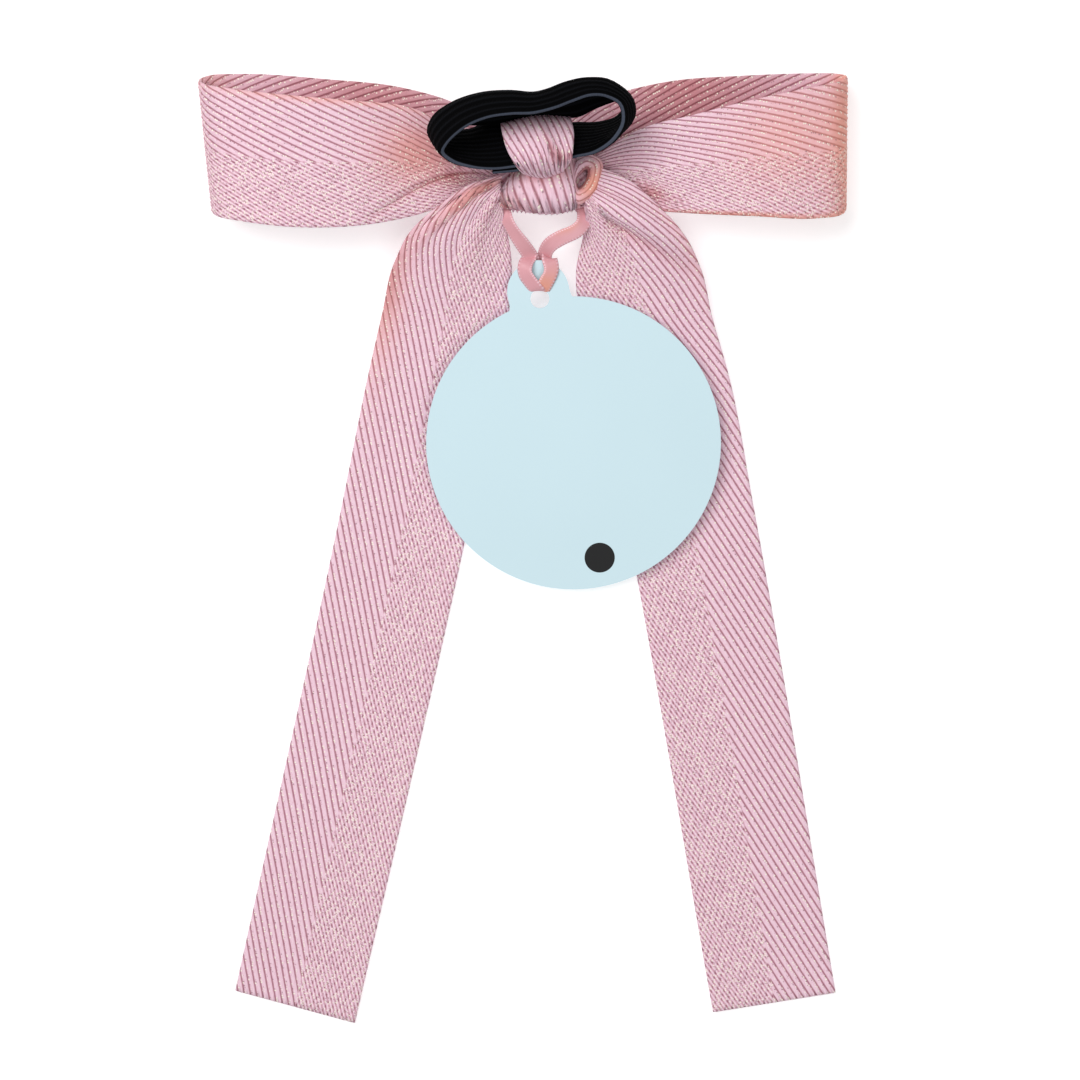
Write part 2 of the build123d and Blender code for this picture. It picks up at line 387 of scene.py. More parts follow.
@dataclass(frozen=True)
class BraidedElastic:
    """Black braided elastic: near-black corded yarn, dull, with painted highlights on the tops of its cords and
    along both its edges.
    """

    yarn: str = "#010102"
    # painted highlights: one colour for the tops of the cords, one for both edges of the band
    cord_highlight: str = "#0b0c10"
    rim_highlight: str = "#4c5260"
    roughness: float = 0.85

    def build(self) -> bpy.types.Material:
        """Make the material, which reads the band's own map: mm across it and along it.

        Returns:
            The material.
        """
        made = new_material("black_braided_elastic")
        _, across, along = woven_map(made)
        cords = sums(made, "COSINE", sums(made, "MULTIPLY", across, 2 * math.pi / CORD_PITCH), 0.0)
        cord_highlight = ramp(made, cords, 0.35, 1.0)
        # the braid's plaits cross each cord at a slant
        lean = sums(made, "MULTIPLY_ADD", across, 0.9, along)
        plait = sums(made, "SINE", sums(made, "MULTIPLY", lean, 2 * math.pi / PLAIT_PITCH), 0.0)
        away = sums(made, "ABSOLUTE", across, 0.0)
        rim_highlight = ramp(made, away, ELASTIC_WIDTH / 2 - 0.12, ELASTIC_WIDTH / 2 - 0.02)
        # painted highlight: paler tops of the cords and a paler line along both edges
        colour = mixed(made, cord_highlight, linear(self.yarn), linear(self.cord_highlight))
        colour = mixed(made, sums(made, "MULTIPLY", rim_highlight, 0.8), colour, linear(self.rim_highlight))
        shader = dress(made, colour, plait, 0.35, 0.08)
        shader.inputs["Roughness"].default_value = self.roughness
        shader.inputs["Specular IOR Level"].default_value = 0.06
        return made


@dataclass(frozen=True)
class SatinWeave:
    """Single-face polyester satin: a smooth, glossy face with a fine cross weave and a dotted selvedge."""

    face: str = "#d4959c"
    sheen_streak: str = "#e3aab2"
    light: str = "#eec4cd"
    # painted warm light
    warm: str = "#e59a84"
    roughness: float = 0.34

    def build(self) -> bpy.types.Material:
        """Make the material, which reads the ribbon's own map: mm across it and along it.

        Returns:
            The material.
        """
        made = new_material("pink_satin_ribbon")
        weave, across, along = woven_map(made)
        away = sums(made, "ABSOLUTE", across, 0.0)
        side = ramp(made, away, SATIN_WIDTH / 2 - 0.5, SATIN_WIDTH / 2 - 0.3)
        dots = sums(made, "COSINE", sums(made, "MULTIPLY", along, 2 * math.pi / PICOT_PITCH), 0.0)
        picot = sums(made, "MULTIPLY", side, ramp(made, dots, -0.3, 0.7))
        # painted sheen: lighter stripes drawn out along the ribbon's floats
        drawn = add_node(made, "ShaderNodeMapping", {"Vector": weave, "Scale": (6.0, 0.25, 1.0)}).outputs[0]
        noise = {"Vector": drawn, "Scale": 2.0, "Detail": 2.0}
        floats = add_node(made, "ShaderNodeTexNoise", noise).outputs[0]
        colour = mixed(made, floats, linear(self.face), linear(self.sheen_streak))
        # painted warm light, laid by the band's warm-light patches
        colour = mixed(made, share_of(made, "warm_light"), colour, linear(self.warm))
        colour = mixed(made, picot, colour, linear(self.light))
        weft = sums(made, "SINE", sums(made, "MULTIPLY", along, 2 * math.pi / WEFT_PITCH), 0.0)
        shader = dress(made, colour, sums(made, "MULTIPLY_ADD", weft, 0.3, floats), 0.3, 0.04)
        shader.inputs["Roughness"].default_value = self.roughness
        shader.inputs["Sheen Weight"].default_value = 0.2
        return made


@dataclass(frozen=True)
class PrintedCard:
    """Uncoated card printed pale aqua: flat and dull with a faint felt of fibres and one plain dot."""

    ink: str = "#c9e2ea"
    thin_ink: str = "#cde6ee"
    dot: str = "#08090b"
    roughness: float = 0.55

    def build(self, place: Matrix) -> bpy.types.Material:
        """Make the printed face's material.

        Args:
            place: The card's place, which the dot is measured from.

        Returns:
            The material.
        """
        made = new_material("pale_aqua_card")
        spot = add_node(made, "ShaderNodeTexCoord", {}).outputs["Object"]
        fine = {"Vector": spot, "Scale": 2600.0, "Detail": 4.0}
        fibre = add_node(made, "ShaderNodeTexNoise", fine).outputs[0]
        broad = {"Vector": spot, "Scale": 45.0, "Detail": 1.0}
        cloud = add_node(made, "ShaderNodeTexNoise", broad).outputs[0]
        colour = mixed(made, cloud, linear(self.ink), linear(self.thin_ink))
        centre = place @ mm(*DOT_CENTRE, CARD_THICK / 2)
        links = {0: spot, 1: centre}
        away = add_node(made, "ShaderNodeVectorMath", links, operation="DISTANCE").outputs["Value"]
        printed = ramp(made, away, (DOT_RADIUS + 0.03) * MM, (DOT_RADIUS - 0.03) * MM)
        colour = mixed(made, printed, colour, linear(self.dot))
        rough = sums(made, "MULTIPLY_ADD", printed, 0.2, self.roughness)
        shader = dress(made, colour, fibre, 0.12, 0.05)
        made.node_tree.links.new(rough, shader.inputs["Roughness"])
        return made


@dataclass(frozen=True)
class CutPaperEdge:
    """The card's die-cut edge: bare white pulp, rough and unprinted."""

    pulp: str = "#f4f4f0"
    shade: str = "#dfe2e2"

    def build(self) -> bpy.types.Material:
        """Make the material.

        Returns:
            The material.
        """
        made = new_material("white_card_edge")
        spot = add_node(made, "ShaderNodeTexCoord", {}).outputs["Object"]
        fine = {"Vector": spot, "Scale": 4000.0, "Detail": 3.0}
        layers = add_node(made, "ShaderNodeTexNoise", fine).outputs[0]
        colour = mixed(made, layers, linear(self.shade), linear(self.pulp))
        shader = dress(made, colour, layers, 0.4, 0.05)
        shader.inputs["Roughness"].default_value = 0.9
        return made


class Weave(Enum):
    """How a band's ribs lie."""

    CHEVRON_AHEAD = "chevrons that point to the end of the run"
    CHEVRON_BACK = "chevrons that point to the start of the run"
    DIAGONAL = "one set of slanting ribs"
    LINED = "ribs along the run"
    CORDED = "cords along the run"
    PLAIN = "smooth, with a dotted selvedge"


def spline_weights(knots: np.ndarray, at: np.ndarray) -> np.ndarray:
    """Share of each knot's value at every place on a smooth curve through the knots.

    Args:
        knots: Rising places of the knots.
        at: Places to weigh.

    Returns:
        One row for each place and one column for each knot.
    """
    values = np.eye(len(knots))
    gaps = np.diff(knots)
    rises = np.diff(values, axis=0) / gaps[:, None]
    slopes = np.empty_like(values)
    slopes[0], slopes[-1] = rises[0], rises[-1]
    if len(knots) > 2:
        behind, ahead = gaps[:-1, None], gaps[1:, None]
        slopes[1:-1] = (rises[:-1] * ahead + rises[1:] * behind) / (ahead + behind)
    index = np.clip(np.searchsorted(knots, at, side="right") - 1, 0, len(knots) - 2)
    gap = gaps[index][:, None]
    t = (at - knots[index])[:, None] / gap
    start = (1 + 2 * t) * (1 - t) ** 2 * values[index] + t * (1 - t) ** 2 * gap * slopes[index]
    end = t * t * (3 - 2 * t) * values[index + 1] + t * t * (t - 1) * gap * slopes[index + 1]
    return start + end


@dataclass(frozen=True)
class Crease:
    """A ridge or valley pressed into a band, from start to end, each (across in mm, share of the run)."""

    start: tuple[float, float]
    end: tuple[float, float]
    half_width: float
    height: float


@dataclass(frozen=True)
class Patch:
    """A soft-edged patch on a band: its centre and reach, each (across in mm, share of the run)."""

    centre: tuple[float, float]
    reach: tuple[float, float]
    strength: float = 1.0


@dataclass
class Band:
    """A woven band swept through stations, each a row of points across it, as a closed thin solid."""

    name: str
    stations: list[Station]
    weave: Weave
    width: float = TAPE_WIDTH
    thick: float = TAPE_THICK
    slant: float = RIB_ANGLE
    cut_width: float = 0.0
    creases: list[Crease] = field(default_factory=list)
    # soft patches of painted warm light
    warm_light_patches: list[Patch] = field(default_factory=list)
    # soft patches of painted shade
    shade_patches: list[Patch] = field(default_factory=list)

    def __post_init__(self) -> None:
        """Work out the run's length from its stations."""
        self.points = np.array(self.stations, float)
        middles = self.points.mean(axis=1)
        steps = np.linalg.norm(np.diff(middles, axis=0), axis=1)
        self.knots = np.concatenate([[0.0], np.cumsum(steps)])
        self.length = float(self.knots[-1])

    def lag(self, across: np.ndarray) -> np.ndarray:
        """Work out how far along the run a rib has fallen behind at each place across.

        Args:
            across: Places across the band, from its middle.

        Returns:
            The distances in mm.
        """
        if self.weave is Weave.CHEVRON_AHEAD:
            return -RIB_LAG * np.abs(across)
        if self.weave is Weave.CHEVRON_BACK:
            return RIB_LAG * np.abs(across)
        if self.weave is Weave.DIAGONAL:
            return (across + self.width / 2) / math.tan(self.slant)
        return np.zeros_like(across)

    def rib_step(self) -> float:
        """Distance along the run from one rib to the next."""
        return RIB_PITCH / math.sin(self.slant)

    def chart(self, across: np.ndarray, along: np.ndarray) -> np.ndarray:
        """Lay out the band's own map, which the materials read.

        Args:
            across: Places across the band, from its middle.
            along: Places along the run.

        Returns:
            mm across and ribs along for the tape, mm across and mm along for the other bands.
        """
        if self.weave in (Weave.CORDED, Weave.PLAIN):
            return np.stack([across, along], axis=1)
        if self.weave is Weave.LINED:
            ribs = across / RIB_PITCH
            reach = along + RIB_STEP * math.cos(RIB_ANGLE) * (ribs + self.width)
            return np.stack([-reach * math.sin(RIB_ANGLE), ribs + self.width], axis=1)
        ribs = (along - self.lag(across)) / self.rib_step()
        if self.weave is Weave.DIAGONAL:
            return np.stack([-(across + self.width / 2 + 1.0), -ribs], axis=1)
        return np.stack([across, ribs if self.weave is Weave.CHEVRON_AHEAD else -ribs], axis=1)

    def columns(self) -> np.ndarray:
        """Choose the places across the band that its mesh has points at.

        Returns:
            The places, from one edge to the other.
        """
        half = self.width / 2
        if self.weave in (Weave.CORDED, Weave.LINED):
            return np.linspace(-half, half, COLUMNS_PER_CORD * round(self.width / CORD_PITCH) + 1)
        inner = half - SELVEDGE
        count = SATIN_COLUMNS if self.weave is Weave.PLAIN else 2 * max(3, round(inner / COLUMN_GAP))
        return np.concatenate([[-half], np.linspace(-inner, inner, count + 1), [half]])

    def row_step(self) -> float:
        """Choose the distance along the run between the mesh's rows.

        Returns:
            The distance in mm.
        """
        if self.weave is Weave.CORDED:
            return LONG_ROW
        if self.weave is Weave.LINED:
            return SHORT_ROW
        if self.weave is Weave.PLAIN:
            return PICOT_PITCH / 4
        return self.rib_step() / ROWS_PER_RIB

    def flat_mesh(self) -> tuple[np.ndarray, list[list[int]]]:
        """Lay out the flat band with its rows along the ribs, and cut its two ends square.

        Returns:
            Points (across, along) and faces as lists of point numbers.
        """
        columns, step = self.columns(), self.row_step()
        lags = self.lag(columns)
        first = math.floor(-lags.max() / step)
        last = math.ceil((self.length - lags.min()) / step)
        flat = bmesh.new()
        rows = [
            [flat.verts.new((u, row * step + late, 0)) for u, late in zip(columns, lags)]
            for row in range(first, last + 1)
        ]
        for near, far in zip(rows, rows[1:]):
            for at in range(len(columns) - 1):
                flat.faces.new((near[at], near[at + 1], far[at + 1], far[at]))
        for place, side in ((0.0, -1.0), (self.length, 1.0)):
            parts = flat.verts[:] + flat.edges[:] + flat.faces[:]
            bmesh.ops.bisect_plane(
                flat, geom=parts, dist=0.04, plane_co=(0, place, 0), plane_no=(0, side, 0), clear_outer=True
            )
        flat.verts.index_update()
        points = np.array([vert.co[:2] for vert in flat.verts])
        faces = [[vert.index for vert in face.verts] for face in flat.faces]
        flat.free()
        return points, faces

    def centre(self, across: np.ndarray, along: np.ndarray) -> np.ndarray:
        """Place the middle of the band's thickness.

        Args:
            across: Places across the band, from its middle.
            along: Places along the run.

        Returns:
            One point for each place, in mm.
        """
        by_run = spline_weights(self.knots, along)
        lanes = np.linspace(0, 1, self.points.shape[1])
        by_width = spline_weights(lanes, across / self.width + 0.5)
        return np.einsum("nk,nm,kmc->nc", by_run, by_width, self.points)

    def facing(self, across: np.ndarray, along: np.ndarray, surface: Surface) -> np.ndarray:
        """Find the unit normal of one of the band's surfaces, by small steps across and along it.

        Args:
            across: Places across the band, from its middle.
            along: Places along the run.
            surface: The method that gives the surface's points.

        Returns:
            One unit vector for each place.
        """
        small = 0.05
        over = surface(across + small, along) - surface(across - small, along)
        ahead = surface(across, along + small) - surface(across, along - small)
        normal = np.cross(over, ahead)
        return normal / np.maximum(np.linalg.norm(normal, axis=1, keepdims=True), 1e-9)

    def pressed(self, across: np.ndarray, along: np.ndarray) -> np.ndarray:
        """Work out how far the creases stand over the smooth surface.

        Args:
            across: Places across the band, from its middle.
            along: Places along the run.

        Returns:
            Their height at each place in mm, below zero in a valley.
        """
        height = np.zeros(len(across))
        for crease in self.creases:
            start = np.array([crease.start[0], crease.start[1] * self.length])
            line = np.array([crease.end[0], crease.end[1] * self.length]) - start
            place = np.stack([across, along], axis=1) - start
            share = np.clip(place @ line / (line @ line), 0, 1)
            away = np.linalg.norm(place - share[:, None] * line, axis=1)
            height += crease.height * np.exp(-((away / crease.half_width) ** 2)) * (0.35 + 0.65 * share)
        return height

    def creased(self, across: np.ndarray, along: np.ndarray) -> np.ndarray:
        """Place the middle surface with its creases pressed in.

        Args:
            across: Places across the band, from its middle.
            along: Places along the run.

        Returns:
            One point for each place, in mm.
        """
        base = self.centre(across, along)
        if not self.creases:
            return base
        return base + self.pressed(across, along)[:, None] * self.facing(across, along, self.centre)

    def relief(self, across: np.ndarray, along: np.ndarray) -> np.ndarray:
        """Work out how far the ribs, cords or selvedge stand over the band's flat face.

        Args:
            across: Places across the band, from its middle.
            along: Places along the run.

        Returns:
            Their height at each place in mm.
        """
        inside = np.clip((self.width / 2 - np.abs(across)) / SELVEDGE, 0, 1)
        if self.weave is Weave.CORDED:
            return CORD_HEIGHT * np.abs(np.cos(np.pi * across / CORD_PITCH)) * inside
        if self.weave is Weave.PLAIN:
            dots = 0.5 + 0.5 * np.cos(2 * np.pi * along / PICOT_PITCH)
            return (PICOT_HEIGHT * dots - PICOT_RECESS) * (1 - inside)
        if self.weave is Weave.LINED:
            phase = across / RIB_PITCH
        else:
            phase = (along - self.lag(across)) / self.rib_step()
        edge = np.abs(2 * (phase - np.floor(phase)) - 1)
        height = RIB_HEIGHT if self.width == TAPE_WIDTH else KNOT_RIB_HEIGHT
        return height * (1 - edge**3) * inside

    def spread(self, patches: list[Patch], across: np.ndarray, along: np.ndarray) -> np.ndarray:
        """Add up soft-edged patches.

        Args:
            patches: The patches.
            across: Places across the band, from its middle.
            along: Places along the run.

        Returns:
            Their strength at each place, at most 1.
        """
        total = np.zeros(len(across))
        for patch in patches:
            over = (across - patch.centre[0]) / patch.reach[0]
            ahead = (along / self.length - patch.centre[1]) / patch.reach[1]
            total += patch.strength * np.exp(-(over**2) - ahead**2)
        return np.clip(total, 0, 1)

    def build(self, finish: bpy.types.Material) -> bpy.types.Object:
        """Make the band as a closed mesh with ribs on both faces.

        Args:
            finish: The band's material.

        Returns:
            The new object.
        """
        flat, faces = self.flat_mesh()
        across, along = flat[:, 0], flat[:, 1]
        middle = self.creased(across, along)
        normal = self.facing(across, along, self.creased)
        rounding = np.clip((self.width / 2 - np.abs(across)) / SELVEDGE, 0, 1)
        half = (self.thick / 2 * (0.45 + 0.55 * rounding) + self.relief(across, along))[:, None]
        points = np.concatenate([middle + normal * half, middle - normal * half]) * MM
        count = len(flat)
        sides: dict[tuple[int, int], int] = {}
        for face in faces:
            for a, b in zip(face, face[1:] + face[:1]):
                key = (min(a, b), max(a, b))
                sides[key] = sides.get(key, 0) + 1
        under = [[at + count for at in reversed(face)] for face in faces]
        walls = [
            [b, a, a + count, b + count]
            for face in faces
            for a, b in zip(face, face[1:] + face[:1])
            if sides[(min(a, b), max(a, b))] == 1
        ]
        mesh = bpy.data.meshes.new(self.name)
        mesh.from_pydata(points.tolist(), [], faces + under + walls)
        chart = np.tile(self.chart(across, along), (2, 1))
        corners = np.empty(len(mesh.loops), np.int32)
        mesh.loops.foreach_get("vertex_index", corners)
        mesh.uv_layers.new(name="weave").data.foreach_set("uv", chart[corners].astype(np.float32).ravel())
        # painted warm light from its patches, kept as a point attribute
        warm_light = self.spread(self.warm_light_patches, across, along)
        # painted shade from its patches and along the valley of each crease, kept as the depth attribute
        valleys = np.clip(-self.pressed(across, along), 0, 1) * VALLEY_SHADE
        depth = np.clip(self.spread(self.shade_patches, across, along) + valleys, 0, 1)
        for label, shares in (("warm_light", warm_light), ("depth", depth)):
            values = np.tile(shares, 2).astype(np.float32)
            mesh.attributes.new(label, "FLOAT", "POINT").data.foreach_set("value", values)
        mesh.materials.append(finish)
        mesh.shade_smooth()
        made = bpy.data.objects.new(self.name, mesh)
        bpy.context.scene.collection.objects.link(made)
        return made


def place_band(
    band: Band, finish: bpy.types.Material, nodes: tuple[str, ...]
) -> bpy.types.Object:
    """Build a band, and hide the CAD nodes that it stands for.

    Args:
        band: The band.
        finish: Its material.
        nodes: The CAD nodes that it stands for.

    Returns:
        The new object.
    """
    made = band.build(finish)
    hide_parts(*nodes)
    LOG.info("%s: %d faces, %.0f mm long", band.name, len(made.data.polygons), band.length)
    return made


@dataclass
class Loops:
    """The bow's two loops, each one run of tape from the knot, round and back to it."""

    left: list[Station] = field(
        default_factory=lambda: [
            ((-4.0, 82.0, 5.4), (-4.3, 69.0, 4.6)),
            ((-8.0, 85.0, 4.8), (-8.5, 68.0, 3.8)),
            ((-13.5, 87.6, 3.8), (-13.0, 67.5, 2.8)),
            ((-22.0, 90.2, 2.2), (-21.0, 67.0, 1.4)),
            ((-38.0, 92.2, 0.7), (-36.5, 67.4, 0.6)),
            ((-54.5, 93.2, 0.5), (-52.5, 68.4, 0.5)),
            ((-59.6, 92.8, 2.1), (-57.3, 67.9, 2.1)),
            ((-61.3, 91.5, 6.0), (-59.0, 66.6, 6.0)),
            ((-59.6, 90.2, 9.8), (-57.3, 65.4, 9.8)),
            ((-55.0, 89.3, 11.4), (-52.8, 64.5, 11.6)),
            ((-42.0, 87.8, 12.2), (-41.0, 63.3, 12.6)),
            ((-31.0, 87.0, 11.0), (-30.0, 63.8, 11.4)),
            ((-21.0, 86.0, 8.2), (-21.0, 65.6, 8.8)),
            ((-12.5, 82.0, 6.9), (-12.5, 68.2, 7.4)),
            ((-4.3, 75.8, 7.2), (-4.3, 69.8, 7.4)),
        ]
    )
    right: list[Station] = field(
        default_factory=lambda: [
            ((7.5, 84.4, 6.0), (11.0, 69.0, 4.6)),
            ((13.2, 87.8, 5.2), (13.6, 68.0, 3.8)),
            ((19.6, 89.6, 4.0), (19.0, 67.5, 2.8)),
            ((29.0, 91.7, 2.2), (29.0, 67.0, 1.4)),
            ((42.0, 92.8, 0.7), (42.0, 67.8, 0.6)),
            ((55.0, 93.3, 0.5), (55.0, 68.3, 0.5)),
            ((59.9, 93.1, 2.1), (59.9, 67.9, 2.1)),
            ((61.6, 92.2, 6.0), (61.6, 66.8, 6.0)),
            ((59.9, 90.8, 9.8), (59.9, 65.6, 9.8)),
            ((55.0, 89.6, 11.4), (55.0, 65.0, 11.6)),
            ((43.0, 87.0, 12.6), (44.0, 65.4, 12.4)),
            ((32.0, 84.3, 11.4), (33.0, 66.0, 10.6)),
            ((22.5, 82.0, 8.8), (23.0, 67.0, 8.2)),
            ((12.1, 75.8, 7.3), (12.1, 69.8, 7.2)),
        ]
    )

    def build(self, tape: bpy.types.Material) -> None:
        """Make both loops.

        Args:
            tape: The tape's material.
        """
        left = Band(
            "left_loop_tape",
            self.left,
            Weave.CHEVRON_AHEAD,
            creases=[
                Crease((-4.0, 0.80), (-3.0, 0.97), 2.5, 0.9),
                Crease((11.0, 0.79), (0.0, 0.97), 0.9, -1.0),
                Crease((8.5, 0.80), (-2.0, 0.965), 1.0, 0.5),
            ],
            warm_light_patches=[
                Patch((-2.0, 0.86), (8.0, 0.07), 0.6),
                Patch((0.0, 0.47), (40.0, 0.04), 0.4),
                Patch((-12.5, 0.72), (1.2, 0.2), 0.6),
            ],
            shade_patches=[
                Patch((-3.0, 0.9), (9.0, 0.07), 0.45),
                Patch((-12.0, 0.2), (20.0, 0.22), 0.7),
                Patch((5.0, 0.93), (2.5, 0.03), 0.5),
            ],
        )
        right = Band(
            "right_loop_tape",
            self.right,
            Weave.CHEVRON_BACK,
            creases=[
                Crease((-4.0, 0.80), (-3.0, 0.97), 2.5, 0.9),
                Crease((10.8, 0.85), (4.0, 0.91), 1.4, -1.0),
                Crease((12.0, 0.81), (9.0, 0.84), 0.9, -0.6),
                Crease((6.5, 0.82), (1.0, 0.93), 1.5, 0.7),
            ],
            warm_light_patches=[
                Patch((0.0, 0.515), (40.0, 0.05), 1.0),
                Patch((-4.0, 0.64), (12.0, 0.12), 0.55),
                Patch((12.6, 0.72), (0.8, 0.2), 1.0),
            ],
            shade_patches=[
                Patch((-12.0, 0.2), (20.0, 0.22), 0.75),
                Patch((7.6, 0.88), (2.8, 0.03), 0.45),
                Patch((12.6, 0.76), (0.7, 0.14), 0.6),
                Patch((0.0, 1.0), (20.0, 0.05), 0.3),
            ],
        )
        for band, node in ((left, "left_loop"), (right, "right_loop")):
            made = place_band(band, tape, (node,))
            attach(made, "bow")


@dataclass
class Tails:
    """The bow's two tails, which fan out of the knot and lie down along the table."""

    left: list[Station] = field(
        default_factory=lambda: [
            ((-3.9, 73.2, 10.4), (-4.0, 70.6, 11.0), (-3.8, 68.4, 10.0)),
            ((-9.2, 71.7, 11.5), (-6.4, 68.6, 10.8), (-3.4, 65.6, 8.4)),
            ((-15.4, 67.7, 10.8), (-9.2, 65.0, 9.6), (-2.8, 62.4, 6.4)),
            ((-20.8, 63.2, 8.8), (-11.6, 60.8, 8.2), (-2.2, 58.8, 5.2)),
            ((-24.4, 57.2, 5.8), (-13.4, 55.2, 6.0), (-2.0, 53.2, 3.8)),
            ((-27.0, 47.6, 2.9), (-15.2, 45.0, 3.0), (-3.4, 42.4, 2.2)),
            ((-30.0, 35.2, 1.6), (-17.8, 32.4, 1.4), (-5.6, 29.7, 1.2)),
            ((-35.3, 10.2, 0.5), (-23.1, 7.4, 0.5), (-10.9, 4.7, 0.5)),
            ((-57.3, -86.9, 0.5), (-45.4, -90.2, 0.5), (-33.5, -93.5, 0.5)),
        ]
    )
    right: list[Station] = field(
        default_factory=lambda: [
            (
                (13.2, 75.2, 10.0), (12.8, 72.6, 10.8), (12.4, 70.2, 10.6), (12.1, 68.6, 10.4),
                (11.9, 67.2, 10.0),
            ),
            ((19.6, 72.6, 11.2), (17.6, 69.6, 11.8), (15.6, 67.0, 10.8), (13.8, 65.6, 9.4), (12.0, 64.2, 8.2)),
            ((25.4, 67.9, 10.8), (22.2, 65.3, 11.0), (18.8, 63.3, 9.4), (15.2, 61.9, 7.8), (11.4, 60.7, 6.2)),
            ((30.3, 62.9, 8.6), (25.6, 60.9, 8.8), (20.6, 59.4, 7.6), (15.6, 58.1, 6.4), (10.5, 56.9, 5.0)),
            ((34.0, 56.6, 5.0), (28.4, 55.1, 5.8), (22.4, 54.0, 5.4), (16.4, 53.0, 4.8), (10.4, 52.0, 3.7)),
            ((36.6, 47.0, 2.7), (30.5, 45.9, 3.1), (24.4, 44.8, 3.0), (18.3, 43.8, 2.8), (12.2, 42.8, 2.2)),
            ((40.1, 35.2, 1.6), (34.0, 34.1, 1.6), (27.8, 33.0, 1.5), (21.7, 32.0, 1.4), (15.5, 30.9, 1.2)),
            ((45.1, 10.2, 0.5), (39.0, 9.1, 0.5), (32.8, 8.0, 0.5), (26.6, 7.0, 0.5), (20.5, 5.9, 0.5)),
            (
                (62.3, -87.3, 0.5), (56.2, -88.3, 0.5), (50.1, -89.3, 0.5), (44.0, -90.3, 0.5),
                (37.9, -91.3, 0.5),
            ),
        ]
    )

    def build(self, tape: bpy.types.Material) -> None:
        """Make both tails, each bending out of the knot.

        Args:
            tape: The tape's material.
        """
        left = Band(
            "left_tail_tape",
            self.left,
            Weave.CHEVRON_AHEAD,
            creases=[
                Crease((-11.5, 0.09), (-9.8, 0.005), 1.0, 0.9),
                Crease((-9.0, 0.09), (-6.8, 0.01), 0.8, -1.3),
                Crease((-1.0, 0.12), (0.0, 0.01), 1.6, 0.6),
                Crease((4.0, 0.1), (3.0, 0.01), 1.3, -0.6),
            ],
            warm_light_patches=[Patch((-12.0, 0.17), (4.0, 0.1), 0.45), Patch((-8.0, 0.02), (4.0, 0.04), 0.6)],
            shade_patches=[Patch((-13.0, 0.14), (3.0, 0.06), 0.5)],
        )
        right = Band(
            "right_tail_tape",
            self.right,
            Weave.CHEVRON_BACK,
            creases=[
                Crease((-11.8, 0.105), (0.0, 0.025), 1.5, 1.1),
                Crease((-9.6, 0.125), (2.6, 0.042), 1.5, -1.1),
                Crease((-10.5, 0.07), (-4.0, 0.01), 1.4, -0.5),
                Crease((7.0, 0.12), (6.0, 0.01), 1.4, 0.5),
            ],
            warm_light_patches=[Patch((-13.0, 0.1), (2.5, 0.06), 0.3)],
            shade_patches=[Patch((10.0, 0.25), (5.0, 0.1), 0.4)],
        )
        for band, node in ((left, "left_tail"), (right, "right_tail")):
            made = place_band(band, tape, (node,))
            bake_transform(made)


